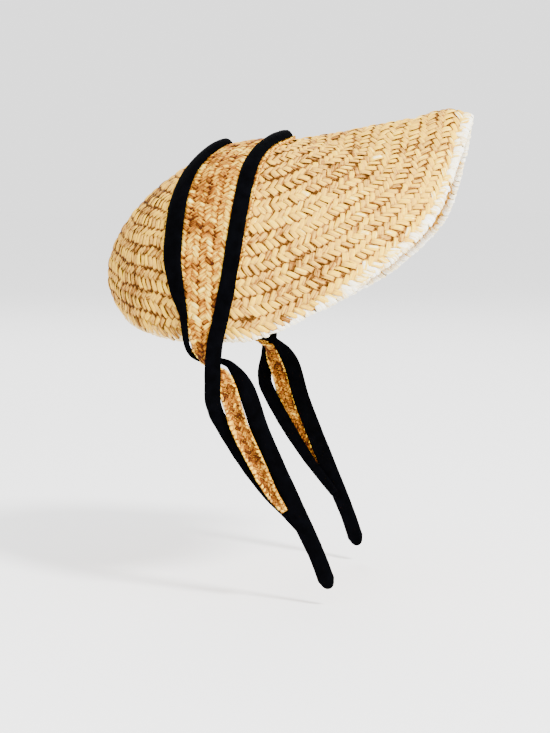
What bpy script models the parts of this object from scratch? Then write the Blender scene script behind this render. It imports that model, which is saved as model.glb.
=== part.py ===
"""A straw cocktail hat: a folded shell with a pointed front peak, crossed from side to side by a
straw sash with velvet ribbon along both edges. The sash hangs below the rim as two twisted ties.

+X is the front, +Z is up, and the origin is where the head's top meets the inside of the crown."""

import math
from collections import namedtuple

import bpy
from mathutils import Vector
from mathutils.bvhtree import BVHTree

MM = 0.001

# Crown: walls, edge and mesh steps
STRAW_WALL = 2.2 * MM
RIM_WALL = 4.2 * MM
RIM_ROLL_LENGTH = 0.06  # share of each spoke over which the wall thickens into the turned edge
CROWN_TOP = STRAW_WALL
CROWN_TILT = 0.02  # rise of the crown's top per unit of run towards the front
PEAK_LIFT = 3.5 * MM  # how far the ridge swells up just short of the peak
PEAK_SHARE, PEAK_SPREAD = 0.86, 0.17  # where the swell is on its spoke, and how far it reaches
PEAK_BEARING = math.radians(16)  # how far the swell reaches to each side of the ridge
SPOKES = 64
RINGS = 13
ROLL_STEPS = 3

# Sash and ribbon
SEAT_GAP = 0.45 * MM
LAYER_GAP = 0.4 * MM
SASH_WALL = 1.6 * MM
RIBBON_WALL = 1.5 * MM
RIBBON_WIDTH = 11.5 * MM
RIBBON_EDGE = 0.36  # share of the ribbon's wall left at its rounded edges
SASH_RISE = SEAT_GAP + SASH_WALL / 2
RIBBON_RISE = SEAT_GAP + SASH_WALL + LAYER_GAP + RIBBON_WALL / 2
SASH_POINTS = 5
AXIS_HEIGHT = -70 * MM  # height of the line that the sash is wound about
CROWN_STEPS = 20  # strip sections from the crown's top to the rim
FREE_STEP = 7.5 * MM
TWIST_STEP = 3.2 * MM
TWIST_LOW = -180  # height in millimetres down to which the strips turn and need closer sections
TIP_LENGTH = 7 * MM
SEAT_SPOKES, SEAT_RINGS = 180, 50  # fineness of the face that the strips are wound on

# One spoke of the crown, seen from above, for each row: where it meets the rim, how far it runs
# level from the top, and how far in from the rim and above it the wall is aimed. Millimetres.
Spoke = namedtuple("Spoke", "rim_x rim_y rim_z run rim_in rim_up")
SPOKE_TABLE = (
    Spoke(rim_x=144, rim_y=0, rim_z=20.5, run=45, rim_in=38, rim_up=3),
    Spoke(rim_x=139, rim_y=20, rim_z=-2, run=50, rim_in=28, rim_up=24),
    Spoke(rim_x=133, rim_y=35, rim_z=-24, run=60, rim_in=18, rim_up=32),
    Spoke(rim_x=125, rim_y=50, rim_z=-46, run=68, rim_in=12, rim_up=36),
    Spoke(rim_x=103, rim_y=70, rim_z=-72, run=68, rim_in=8, rim_up=42),
    Spoke(rim_x=60, rim_y=90, rim_z=-103, run=60, rim_in=3, rim_up=56),
    Spoke(rim_x=1, rim_y=97, rim_z=-128, run=54, rim_in=-2, rim_up=70),
    Spoke(rim_x=-36, rim_y=93, rim_z=-129, run=54, rim_in=-4, rim_up=68),
    Spoke(rim_x=-64, rim_y=78, rim_z=-126, run=54, rim_in=-9, rim_up=66),
    Spoke(rim_x=-88, rim_y=48, rim_z=-120, run=55, rim_in=-18, rim_up=60),
    Spoke(rim_x=-106, rim_y=0, rim_z=-113, run=62, rim_in=-30, rim_up=42),
)

# The ribbons' centre lines on the crown, by the angle wound from the top, in degrees and millimetres
Winding = namedtuple("Winding", "around front_x rear_x rear_width")
WINDING_TABLE = (
    Winding(around=0, front_x=14, rear_x=-28.5, rear_width=11.5),
    Winding(around=14, front_x=10, rear_x=-32.5, rear_width=11.5),
    Winding(around=30, front_x=3, rear_x=-40, rear_width=11.5),
    Winding(around=45, front_x=-0.5, rear_x=-44.5, rear_width=11.5),
    Winding(around=70, front_x=-2.5, rear_x=-47, rear_width=11.5),
    Winding(around=92, front_x=-5, rear_x=-46.5, rear_width=11.5),
    Winding(around=106, front_x=-8, rear_x=-42, rear_width=9.5),
    Winding(around=115, front_x=-11.5, rear_x=-36.5, rear_width=5),
)

# The free runs of each strip below the crown, one section for each row: its middle, its width, how
# far it has turned about its run, and how deep it is cupped. Millimetres and degrees.
Free = namedtuple("Free", "x y z width turn cup")
SASH_TIE = (
    Free(x=-23.5, y=-100.5, z=-132, width=14.5, turn=5, cup=0),
    Free(x=-22.5, y=-98.5, z=-140.5, width=14, turn=40, cup=0),
    Free(x=-19, y=-96, z=-148, width=13, turn=85, cup=0),
    Free(x=-13, y=-94.2, z=-153.5, width=12.5, turn=140, cup=0.5),
    Free(x=-8.5, y=-93.2, z=-162, width=12, turn=168, cup=1),
    Free(x=-4.8, y=-92.3, z=-173.5, width=11.2, turn=178, cup=1.5),
    Free(x=-1.3, y=-91.2, z=-185.5, width=11.5, turn=180, cup=1.5),
    Free(x=8.7, y=-88.8, z=-208, width=10.5, turn=180, cup=1.5),
    Free(x=19.8, y=-86, z=-231, width=7.5, turn=180, cup=1),
    Free(x=28.5, y=-83.8, z=-244, width=3.5, turn=180, cup=0),
)
FRONT_TIE = (
    Free(x=-14.5, y=-105, z=-131.5, width=11.5, turn=0, cup=0),
    Free(x=-15.5, y=-106, z=-144.5, width=11.5, turn=0, cup=0),
    Free(x=-16.4, y=-103, z=-157.5, width=11.5, turn=0, cup=0),
    Free(x=-17.7, y=-96, z=-169.5, width=11.5, turn=0, cup=0),
    Free(x=-16.7, y=-91.3, z=-177, width=11, turn=0, cup=0),
    Free(x=-12, y=-88.9, z=-187, width=11, turn=0, cup=0),
    Free(x=-1, y=-86.6, z=-206, width=10.5, turn=0, cup=0),
    Free(x=9.5, y=-84.6, z=-222, width=9.5, turn=0, cup=0),
    Free(x=19, y=-82, z=-235, width=8.5, turn=0, cup=0),
    Free(x=29, y=-77.8, z=-246.5, width=7.5, turn=0, cup=0),
    Free(x=39, y=-75.8, z=-258.5, width=6.5, turn=0, cup=0),
)
REAR_TIE = (
    Free(x=-34.5, y=-100.5, z=-130, width=3.5, turn=0, cup=0),
    Free(x=-32.5, y=-94.5, z=-138, width=3.5, turn=0, cup=0),
    Free(x=-26, y=-88.5, z=-142.5, width=3.5, turn=0, cup=0),
    Free(x=-17.5, y=-86.5, z=-143, width=3.5, turn=0, cup=0),
    Free(x=-9.5, y=-86.5, z=-145, width=4.5, turn=0, cup=0),
    Free(x=-5, y=-87.3, z=-149, width=6.5, turn=0, cup=0),
    Free(x=-0.7, y=-89, z=-154.5, width=9, turn=0, cup=0),
    Free(x=4, y=-89.6, z=-163, width=10.5, turn=0, cup=0),
    Free(x=7.8, y=-88.4, z=-174.5, width=10.8, turn=0, cup=0),
    Free(x=11.2, y=-87, z=-186, width=10.8, turn=0, cup=0),
    Free(x=20, y=-84.5, z=-208, width=10.8, turn=0, cup=0),
    Free(x=30, y=-81.8, z=-231, width=10.8, turn=0, cup=0),
    Free(x=40, y=-79, z=-253.5, width=10.5, turn=0, cup=0),
    Free(x=50, y=-76.2, z=-276.5, width=10, turn=0, cup=0),
    Free(x=55.2, y=-74.8, z=-291, width=10, turn=0, cup=0),
)

STRAW_COLOUR = (0.74, 0.55, 0.28, 1)
SASH_COLOUR = (0.62, 0.38, 0.16, 1)
VELVET_COLOUR = (0.006, 0.006, 0.009, 1)


def clear_scene():
    for obj in list(bpy.data.objects):
        bpy.data.objects.remove(obj)


def make_material(name, colour, roughness):
    material = bpy.data.materials.new(name)
    material.use_nodes = True
    shader = material.node_tree.nodes["Principled BSDF"]
    shader.inputs["Base Color"].default_value = colour
    shader.inputs["Roughness"].default_value = roughness
    return material


def add_piece(name, points, faces, material):
    mesh = bpy.data.meshes.new(name)
    mesh.from_pydata(points, [], faces)
    mesh.update()
    mesh.shade_smooth()
    mesh.set_sharp_from_angle(angle=math.radians(40))
    mesh.materials.append(material)
    piece = bpy.data.objects.new(name, mesh)
    bpy.context.scene.collection.objects.link(piece)
    return piece


def curve_value(keys, values, at, level_start=True, level_end=True):
    """A smooth curve through the values, which doesn't overshoot them, read at one place. Where an
    end isn't level, it keeps the slope of the stretch beside it."""
    last = len(keys) - 1
    at = min(max(at, keys[0]), keys[-1])
    k = max(i for i in range(last) if keys[i] <= at)
    gaps = [keys[i + 1] - keys[i] for i in range(last)]
    rises = [(values[i + 1] - values[i]) / gaps[i] for i in range(last)]

    def slope(i):
        if i == 0:
            return 0.0 if level_start else rises[0]
        if i == last:
            return 0.0 if level_end else rises[-1]
        if rises[i - 1] * rises[i] <= 0:
            return 0.0
        before, after = gaps[i - 1], gaps[i]
        weight_before, weight_after = 2 * after + before, after + 2 * before
        total = weight_before + weight_after
        return total / (weight_before / rises[i - 1] + weight_after / rises[i])

    t = (at - keys[k]) / gaps[k]
    rise = values[k + 1] - values[k]
    start, end = slope(k) * gaps[k], slope(k + 1) * gaps[k]
    return values[k] + t * (start + t * (3 * rise - 2 * start - end + t * (start + end - 2 * rise)))


def table_row(keys, table, at, level_start=True, level_end=True):
    """A row of the table between its rows, as a tuple of the same kind."""
    values = (curve_value(keys, column, at, level_start, level_end) for column in zip(*table))
    return type(table[0])(*values)


SPOKE_BEARINGS = [math.atan2(row.rim_y, row.rim_x) for row in SPOKE_TABLE]


def peak_swell(bearing, share):
    """Rise of the ridge just short of the peak, which dies out smoothly all round."""
    along = max(0.0, 1 - ((share - PEAK_SHARE) / PEAK_SPREAD) ** 2)
    across = max(0.0, 1 - (bearing / PEAK_BEARING) ** 2)
    return PEAK_LIFT * along**2 * across**2


def crown_point(bearing, share):
    """A point of the crown's outer face: bearing from the front, share of the spoke from the top."""
    row = table_row(SPOKE_BEARINGS, SPOKE_TABLE, abs(bearing))
    reach = math.hypot(row.rim_x, row.rim_y) * MM
    top = CROWN_TOP
    run = row.run * MM
    aims = (
        (0.0, top),
        (run, top + CROWN_TILT * run * math.cos(bearing)),
        (reach - row.rim_in * MM, (row.rim_z + row.rim_up) * MM),
        (reach, row.rim_z * MM),
    )
    rest = 1 - share
    weights = (rest**3, 3 * rest * rest * share, 3 * rest * share * share, share**3)
    out = sum(w * aim[0] for w, aim in zip(weights, aims))
    height = sum(w * aim[1] for w, aim in zip(weights, aims)) + peak_swell(bearing, share)
    return Vector((out * math.cos(bearing), out * math.sin(bearing), height))


def crown_normal(bearing, share):
    step = 1e-3
    share = max(share, 0.02)
    along = crown_point(bearing, share) - crown_point(bearing, share - step)
    across = crown_point(bearing + step, share) - crown_point(bearing - step, share)
    return along.cross(across).normalized()


def wall_at(share):
    """Thickness of the crown's wall, which swells into the turned edge at the rim."""
    swell = max(0.0, 1 - (1 - share) / RIM_ROLL_LENGTH)
    return STRAW_WALL + (RIM_WALL - STRAW_WALL) * swell


def spoke_profile(bearing):
    """Outer face from near the top to the rim, round its edge, and back along the inner face."""
    shares = [(ring / RINGS) ** 0.9 for ring in range(1, RINGS + 1)]
    shares.insert(-1, 1 - RIM_ROLL_LENGTH)
    outer = [crown_point(bearing, share) for share in shares]
    normals = [crown_normal(bearing, share) for share in shares]
    inner = [p - n * wall_at(share) for p, n, share in zip(outer, normals, shares)]
    middle = (outer[-1] + inner[-1]) / 2
    radius = (outer[-1] - inner[-1]) / 2
    down = (outer[-1] - outer[-2]).normalized() * radius.length
    turns = [math.pi * step / (ROLL_STEPS + 1) for step in range(1, ROLL_STEPS + 1)]
    edge = [middle + radius * math.cos(turn) + down * math.sin(turn) for turn in turns]
    return outer + edge + inner[::-1]


def make_crown(material):
    profiles = [spoke_profile(spoke_bearing(spoke)) for spoke in range(SPOKES)]
    size = len(profiles[0])
    points = [point for profile in profiles for point in profile]
    outer_top, inner_top = len(points), len(points) + 1
    points += [Vector((0, 0, CROWN_TOP)), Vector((0, 0, CROWN_TOP - STRAW_WALL))]
    faces = []
    for spoke in range(SPOKES):
        here, after = spoke * size, (spoke + 1) % SPOKES * size
        faces.append((outer_top, here, after))
        faces.append((inner_top, after + size - 1, here + size - 1))
        for i in range(size - 1):
            faces.append((here + i, here + i + 1, after + i + 1, after + i))
    return add_piece("straw_crown", points, faces, material)


def spoke_bearing(spoke):
    return math.remainder(2 * math.pi * spoke / SPOKES, 2 * math.pi)


def seat_face():
    """The crown's outer face as a fine open net, for the strips to be wound on."""
    points = [Vector((0, 0, CROWN_TOP))]
    for spoke in range(SEAT_SPOKES):
        bearing = math.remainder(2 * math.pi * spoke / SEAT_SPOKES, 2 * math.pi)
        points += [crown_point(bearing, ring / SEAT_RINGS) for ring in range(1, SEAT_RINGS + 1)]
    faces = []
    for spoke in range(SEAT_SPOKES):
        here, after = 1 + spoke * SEAT_RINGS, 1 + (spoke + 1) % SEAT_SPOKES * SEAT_RINGS
        faces.append((0, here, after))
        for i in range(SEAT_RINGS - 1):
            faces.append((here + i, here + i + 1, after + i + 1, after + i))
    return BVHTree.FromPolygons(points, faces)


# One place along a strip: place(across, height) is a point of it, across from its middle towards
# the front edge and height out from its middle layer
Band = namedtuple("Band", "place width")


def wound_band(seat, angle, x, width, rise):
    """A section on the crown, at an angle wound from the top down the -Y side."""
    around = math.radians(angle)
    aim = Vector((0, -math.sin(around), math.cos(around)))

    def place(across, height):
        start = Vector((x + across, 0, AXIS_HEIGHT)) + aim * 0.4
        point, normal, _, _ = seat.ray_cast(start, -aim)
        return point + normal * (rise + height)

    return Band(place, width)


def free_band(row, middle, along):
    """A section clear of the crown, which faces outwards until it is turned about its run."""
    outward = Vector((0, -1, 0))
    outward = (outward - along * outward.dot(along)).normalized()
    level = outward.cross(along)
    turn = math.radians(row.turn)
    width = level * math.cos(turn) + outward * math.sin(turn)
    face = outward * math.cos(turn) - level * math.sin(turn)

    def place(across, height):
        cup = row.cup * MM * (1 - (2 * across / (row.width * MM)) ** 2)
        return middle + width * across + face * (height + cup)

    return Band(place, row.width * MM)


def free_start(band):
    """The last section on the crown as a row for the free run that goes on from it."""
    edges = [band.place(side * band.width / 2, 0.0) for side in (-1, 1)]
    middle = (edges[0] + edges[1]) / 2
    bulge = (band.place(0.0, 0.0) - middle).length
    turn = math.degrees(math.asin((edges[0].y - edges[1].y) / band.width))
    return Free(*(middle / MM), band.width / MM, turn, bulge / MM)


def free_run(band, table):
    """Free sections that go on from a band on the crown through the rows of the table."""
    table = (free_start(band), *table)
    keys = [0.0]
    for before, after in zip(table, table[1:]):
        keys.append(keys[-1] + math.dist(before[:3], after[:3]))

    def row_at(at):
        return table_row(keys, table, at, False, False)

    def middle(at):
        row = row_at(at)
        return Vector((row.x, row.y, row.z)) * MM

    bands = []
    at, length = 0.0, keys[-1]
    while at < length:
        step = (TWIST_STEP if row_at(at).z > TWIST_LOW else FREE_STEP) / MM
        at = length if length - at < 1.5 * step else at + step
        along = (middle(at + 1) - middle(at - 1)).normalized()
        bands.append(free_band(row_at(at), middle(at), along))
    return bands


def strip_bands(seat, x_and_width, rise, table):
    """Sections from the crown's top to the strip's free end; x_and_width reads a winding row."""
    keys = [row.around for row in WINDING_TABLE]
    bands = []
    for step in range(CROWN_STEPS + 1):
        angle = keys[-1] * step / CROWN_STEPS
        x, width = x_and_width(table_row(keys, WINDING_TABLE, angle, level_end=False))
        bands.append(wound_band(seat, angle, x * MM, width * MM, rise))
    return bands + free_run(bands[-1], table)


def sash_loop(band):
    steps = [2 * i / SASH_POINTS - 1 for i in range(SASH_POINTS + 1)]
    outer = [band.place(band.width / 2 * step, SASH_WALL / 2) for step in steps]
    inner = [band.place(band.width / 2 * step, -SASH_WALL / 2) for step in reversed(steps)]
    return outer + inner


def ribbon_loop(band, scale=1.0):
    """A ribbon's section with rounded edges."""
    face, edge = RIBBON_WALL / 2, RIBBON_WALL / 2 * RIBBON_EDGE
    half = band.width / 2 * scale
    inset = half - min(face, half / 2)
    corners = (
        (-half, -edge), (-half, edge), (-inset, face), (0.0, face), (inset, face),
        (half, edge), (half, -edge), (inset, -face), (0.0, -face), (-inset, -face),
    )
    return [band.place(across, height) for across, height in corners]


def mirrored(point):
    return Vector((point.x, -point.y, point.z))


def loft_both_sides(name, loops, material):
    """Joins the loops of one side to their mirror images, with the first loop on the crown's top."""
    other = [[mirrored(point) for point in loop] for loop in loops[:0:-1]]
    loops = other + loops
    size = len(loops[0])
    points = [point for loop in loops for point in loop]
    faces = [tuple(range(size))]
    for k in range(len(loops) - 1):
        here, after = k * size, (k + 1) * size
        for i in range(size):
            j = (i + 1) % size
            faces.append((here + i, after + i, after + j, here + j))
    faces.append(tuple(range(len(points) - size, len(points)))[::-1])
    return add_piece(name, points, faces, material)


def make_sash(seat, material):
    def x_and_width(row):
        return (row.front_x + row.rear_x) / 2, row.front_x - row.rear_x

    bands = strip_bands(seat, x_and_width, SASH_RISE, SASH_TIE)
    return loft_both_sides("straw_sash", [sash_loop(band) for band in bands], material)


def make_front_ribbon(seat, material):
    def x_and_width(row):
        return row.front_x, RIBBON_WIDTH / MM

    bands = strip_bands(seat, x_and_width, RIBBON_RISE, FRONT_TIE)
    return loft_both_sides("velvet_front", [ribbon_loop(band) for band in bands], material)


def make_rear_ribbon(seat, material):
    def x_and_width(row):
        return row.rear_x, row.rear_width

    bands = strip_bands(seat, x_and_width, RIBBON_RISE, REAR_TIE)
    loops = [ribbon_loop(band) for band in bands]
    before, last = bands[-2:]
    along = (last.place(0.0, 0.0) - before.place(0.0, 0.0)).normalized()
    for share in (0.55, 0.85, 0.97):
        loop = ribbon_loop(last, math.sqrt(1 - share * share))
        loops.append([point + along * TIP_LENGTH * share for point in loop])
    return loft_both_sides("velvet_rear", loops, material)


def main():
    clear_scene()
    make_crown(make_material("straw", STRAW_COLOUR, 0.7))
    seat = seat_face()
    make_sash(seat, make_material("sash_straw", SASH_COLOUR, 0.75))
    velvet = make_material("velvet", VELVET_COLOUR, 0.9)
    make_front_ribbon(seat, velvet)
    make_rear_ribbon(seat, velvet)


main()
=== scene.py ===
"""Looks of the straw cocktail hat: the woven shell with its folded rim, the finer straw sash with its
bumpy selvedges, and the velvet ribbons, all laid on the same faces as the solids.

Metres, +X to the front, +Z up. Tables of sizes are in millimetres and are read through MM."""

import math
from collections import namedtuple

import bmesh
import bpy
import numpy as np
from mathutils import Matrix, Vector
from mathutils.bvhtree import BVHTree


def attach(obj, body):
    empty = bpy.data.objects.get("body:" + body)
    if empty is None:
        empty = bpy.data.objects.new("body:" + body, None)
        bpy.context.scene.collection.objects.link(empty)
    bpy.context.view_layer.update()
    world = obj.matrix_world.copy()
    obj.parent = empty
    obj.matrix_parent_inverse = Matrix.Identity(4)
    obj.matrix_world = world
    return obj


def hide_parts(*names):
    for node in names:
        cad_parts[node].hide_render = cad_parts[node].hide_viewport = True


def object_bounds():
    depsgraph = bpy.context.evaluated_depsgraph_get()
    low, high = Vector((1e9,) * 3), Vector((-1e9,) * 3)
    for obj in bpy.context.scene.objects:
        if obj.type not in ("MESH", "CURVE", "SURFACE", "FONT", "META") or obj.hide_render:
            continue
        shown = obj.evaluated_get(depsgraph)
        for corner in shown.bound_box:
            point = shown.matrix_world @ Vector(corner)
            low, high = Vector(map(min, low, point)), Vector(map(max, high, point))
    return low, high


MM = 0.001

# Crown
STRAW_WALL = 2.2 * MM
RIM_WALL = 4.2 * MM
RIM_ROLL_LENGTH = 0.06
CROWN_TOP = STRAW_WALL
CROWN_TILT = 0.02
PEAK_LIFT = 3.5 * MM
PEAK_SHARE, PEAK_SPREAD = 0.86, 0.17
PEAK_BEARING = math.radians(16)
NET_AROUND, NET_DOWN = 480, 120
FIRST_AROUND, FIRST_DOWN = 720, 120  # the lines that the net is first drawn with
GROUND_AROUND, GROUND_DOWN = 160, 45
GROUND_SINK = 0.75 * MM

Spoke = namedtuple("Spoke", "rim_x rim_y rim_z run rim_in rim_up")
SPOKE_TABLE = (
    Spoke(rim_x=144, rim_y=0, rim_z=20.5, run=45, rim_in=38, rim_up=3),
    Spoke(rim_x=139, rim_y=20, rim_z=-2, run=50, rim_in=28, rim_up=24),
    Spoke(rim_x=133, rim_y=35, rim_z=-24, run=60, rim_in=18, rim_up=32),
    Spoke(rim_x=125, rim_y=50, rim_z=-46, run=68, rim_in=12, rim_up=36),
    Spoke(rim_x=103, rim_y=70, rim_z=-72, run=68, rim_in=8, rim_up=42),
    Spoke(rim_x=60, rim_y=90, rim_z=-103, run=60, rim_in=3, rim_up=56),
    Spoke(rim_x=1, rim_y=97, rim_z=-128, run=54, rim_in=-2, rim_up=70),
    Spoke(rim_x=-36, rim_y=93, rim_z=-129, run=54, rim_in=-4, rim_up=68),
    Spoke(rim_x=-64, rim_y=78, rim_z=-126, run=54, rim_in=-9, rim_up=66),
    Spoke(rim_x=-88, rim_y=48, rim_z=-120, run=55, rim_in=-18, rim_up=60),
    Spoke(rim_x=-106, rim_y=0, rim_z=-113, run=62, rim_in=-30, rim_up=42),
)
SPOKE_BEARINGS = [math.atan2(row.rim_y, row.rim_x) for row in SPOKE_TABLE]

# Sash and ribbons
SEAT_GAP = 0.45 * MM
LAYER_GAP = 0.4 * MM
SASH_WALL = 1.6 * MM
RIBBON_WALL = 1.5 * MM
RIBBON_WIDTH = 11.5 * MM
SASH_RISE = SEAT_GAP + SASH_WALL / 2
RIBBON_RISE = SEAT_GAP + SASH_WALL + LAYER_GAP + RIBBON_WALL / 2
AXIS_HEIGHT = -70 * MM
TIP_LENGTH = 7 * MM
STRIP_STEP = 1.6 * MM
WOUND_STEPS = 110
STRIP_COLUMNS = 12
RAY_REACH = 0.4  # how far from the crown's axis the rays start that find its face
SASH_SPREAD = 0.8 * MM  # how much wider the woven sash is than its sections
SASH_SINK = 0.4 * MM
CRUMPLE, TIE_CALM = 0.3 * MM, 0.45
MARGIN_FADES = 22  # degrees before the rim, over which the sash's edges under the ribbons end
SIDE_PUFF, TOP_PUFF, TIE_PUFF = 0.8 * MM, 2.7 * MM, 0.5 * MM  # how far a ribbon bulges
TOP_PUFF_ANGLE = 34
RIBBON_THICK = RIBBON_WALL * 1.06
RIBBON_WANDER = 0.022
RIBBON_SETTLES = 60  # sections from the crown's top on, over which a ribbon's width changes
FRONT_WIDENING, REAR_WIDENING = -0.05, 0.15
TIP_SHARES = (0.3, 0.55, 0.75, 0.88, 0.96, 1.0)

Winding = namedtuple("Winding", "around front_x rear_x rear_width")
WINDING_TABLE = (
    Winding(around=0, front_x=14, rear_x=-28.5, rear_width=11.5),
    Winding(around=14, front_x=10, rear_x=-32.5, rear_width=11.5),
    Winding(around=30, front_x=3, rear_x=-40, rear_width=11.5),
    Winding(around=45, front_x=-0.5, rear_x=-44.5, rear_width=11.5),
    Winding(around=70, front_x=-2.5, rear_x=-47, rear_width=11.5),
    Winding(around=92, front_x=-5, rear_x=-46.5, rear_width=11.5),
    Winding(around=106, front_x=-8, rear_x=-42, rear_width=9.5),
    Winding(around=115, front_x=-11.5, rear_x=-36.5, rear_width=5),
)

Free = namedtuple("Free", "x y z width turn cup")
SASH_TIE = (
    Free(x=-23.5, y=-100.5, z=-132, width=14.5, turn=5, cup=0),
    Free(x=-22.5, y=-98.5, z=-140.5, width=14, turn=40, cup=0),
    Free(x=-19, y=-96, z=-148, width=13, turn=85, cup=0),
    Free(x=-13, y=-94.2, z=-153.5, width=12.5, turn=140, cup=0.5),
    Free(x=-8.5, y=-93.2, z=-162, width=12, turn=168, cup=1),
    Free(x=-4.8, y=-92.3, z=-173.5, width=11.2, turn=178, cup=1.5),
    Free(x=-1.3, y=-91.2, z=-185.5, width=11.5, turn=180, cup=1.5),
    Free(x=8.7, y=-88.8, z=-208, width=10.5, turn=180, cup=1.5),
    Free(x=19.8, y=-86, z=-231, width=7.5, turn=180, cup=1),
    Free(x=28.5, y=-83.8, z=-244, width=3.5, turn=180, cup=0),
)
FRONT_TIE = (
    Free(x=-14.5, y=-105, z=-131.5, width=11.5, turn=0, cup=0),
    Free(x=-15.5, y=-106, z=-144.5, width=11.5, turn=0, cup=0),
    Free(x=-16.4, y=-103, z=-157.5, width=11.5, turn=0, cup=0),
    Free(x=-17.7, y=-96, z=-169.5, width=11.5, turn=0, cup=0),
    Free(x=-16.7, y=-91.3, z=-177, width=11, turn=0, cup=0),
    Free(x=-12, y=-88.9, z=-187, width=11, turn=0, cup=0),
    Free(x=-1, y=-86.6, z=-206, width=10.5, turn=0, cup=0),
    Free(x=9.5, y=-84.6, z=-222, width=9.5, turn=0, cup=0),
    Free(x=19, y=-82, z=-235, width=8.5, turn=0, cup=0),
    Free(x=29, y=-77.8, z=-246.5, width=7.5, turn=0, cup=0),
    Free(x=39, y=-75.8, z=-258.5, width=6.5, turn=0, cup=0),
)
REAR_TIE = (
    Free(x=-34.5, y=-100.5, z=-130, width=3.5, turn=0, cup=0),
    Free(x=-32.5, y=-94.5, z=-138, width=3.5, turn=0, cup=0),
    Free(x=-26, y=-88.5, z=-142.5, width=3.5, turn=0, cup=0),
    Free(x=-17.5, y=-86.5, z=-143, width=3.5, turn=0, cup=0),
    Free(x=-9.5, y=-86.5, z=-145, width=4.5, turn=0, cup=0),
    Free(x=-5, y=-87.3, z=-149, width=6.5, turn=0, cup=0),
    Free(x=-0.7, y=-89, z=-154.5, width=9, turn=0, cup=0),
    Free(x=4, y=-89.6, z=-163, width=10.5, turn=0, cup=0),
    Free(x=7.8, y=-88.4, z=-174.5, width=10.8, turn=0, cup=0),
    Free(x=11.2, y=-87, z=-186, width=10.8, turn=0, cup=0),
    Free(x=20, y=-84.5, z=-208, width=10.8, turn=0, cup=0),
    Free(x=30, y=-81.8, z=-231, width=10.8, turn=0, cup=0),
    Free(x=40, y=-79, z=-253.5, width=10.5, turn=0, cup=0),
    Free(x=50, y=-76.2, z=-276.5, width=10, turn=0, cup=0),
    Free(x=55.2, y=-74.8, z=-291, width=10, turn=0, cup=0),
)

# Weaves: a strand's row pitch and spacing in its row, and how its floats are shaped
CROWN_ROW = 6.4 * MM
CROWN_SPACING = 5.5 * MM  # at its widest; a ring of floats is thinned out where it falls below the least
CROWN_LEAST = 4.2 * MM
HIDDEN_TOP = 14 * MM  # the sash covers the crown's top this far out
WANDER = 1.3 * MM  # how far the rows stray from true
LEAN = math.radians(11)  # how far the two ways of the strands lean together off the rows
STRAND_FILL, SASH_FILL = 0.94, 0.98  # the share of the room across it that a strand takes up
STAGGER = (0.75, 0.25)  # how far on the even rows and the odd ones begin
SASH_ROW = 4.7 * MM
SASH_SPACING = 4.2 * MM
TIE_ROWS = 4
TIE_SPACING = 3.4 * MM
TIE_EDGE = 1.5 * MM
SASH_SPARE = 1.5 * MM  # how far the sash stands out beyond the ribbons on the crown

# along and across count a float's points; crest, dip and rounding are heights in metres
Float = namedtuple("Float", "along across crest dip rounding spare")
CROWN_FLOAT = Float(along=10, across=5, crest=0.5 * MM, dip=1.6 * MM, rounding=0.5 * MM, spare=1.28)
INNER_FLOAT = Float(along=7, across=5, crest=0.15 * MM, dip=1.1 * MM, rounding=0.35 * MM, spare=1.24)
SASH_FLOAT = Float(along=9, across=5, crest=0.4 * MM, dip=1.2 * MM, rounding=0.4 * MM, spare=1.28)
RIM_FLOAT = Float(along=15, across=6, crest=0.6 * MM, dip=0.9 * MM, rounding=0.85 * MM, spare=1.0)
LOOP_FLOAT = Float(along=6, across=5, crest=0.75 * MM, dip=0.9 * MM, rounding=0.8 * MM, spare=1.25)

# How much floats differ from each other, for a looseness of 1
TURN_SPREAD, BEND_SPREAD, LENGTH_SPREAD, WIDTH_SPREAD = 0.09, 0.09, 0.05, 0.09
SHIFT_SPREAD, TILT_SPREAD = 0.22 * MM, 0.1 * MM
LIFT_SPREAD, LIFT_MOST = 0.35, 1.25
STAINED_SHARE, STAINED_TONE = 0.05, 2.6
CROWN_LOOSE, RIM_LOOSE, SASH_LOOSE, TIE_LOOSE, LOOP_LOOSE = 1.3, 1.7, 1.5, 1.0, 1.6

# How a float's height, width and painted shade change towards its ends and edges
DIP_POWER, ROUNDING_POWER, PAINTED_SHADE_POWER = 3.5, 2.5, 4
END_NARROWING = 0.12
END_PAINTED_SHADE = (0.5, 0.8)
# shares of the painted shade at the end and the edge that don't go under others
OPEN_END, OPEN_EDGE = 0.3, 0.05
STRAND_APART = 40 * MM

# Every second row of a weave stands proud: its rise, width, tone (a painted highlight on the proud rows,
# painted shade on the sunk ones) and how strong the painted shadow along its lower edge is
Row = namedtuple("Row", "rise widening tone under")
SUNK_ROW = Row(rise=-0.05 * MM, widening=0.98, tone=-0.3, under=0.25)
PROUD_ROW = Row(rise=0.2 * MM, widening=1.04, tone=0.5, under=0.7)

# Tones of the straw, and the stretches over which they set in: of x in metres, or RIM_GROUND's, which
# is of the way down to the rim
# painted highlight: the crown's straw much paler at the front, fading out upwards from the rim
FRONT_HIGHLIGHT_TONE, FRONT_HIGHLIGHT_FADE, FRONT_HIGHLIGHT_X = 6.5, 10 * MM, (0.03, 0.08)
# painted shade: the straw darker towards the back
REAR_SHADE_TONE, REAR_STRETCH = -1.6, (-0.02, -0.08)
# painted shade: the grounds under the floats are dark where they show between them; the crown's is paler near
# the rim
GROUND_SHADE_TONE, RIM_GROUND_TONE, RIM_GROUND = -4.5, 1.0, (0.93, 0.97)
# painted highlight: the rim's folds paler towards the front
RIM_TONE, RIM_FRONT_HIGHLIGHT_TONE, RIM_FRONT = -1.5, 3.7, (-0.055, 0.015)
# painted shade: the sash darker on the ties, below a height
TIE_SHADE_TONE, TIE_TOP = -3.2, -0.13
# painted shade: the sash's ground darker than its floats; the selvedge loops paler
SASH_GROUND_SHADE_TONE, LOOP_TONE = -1.6, 0.6

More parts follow.
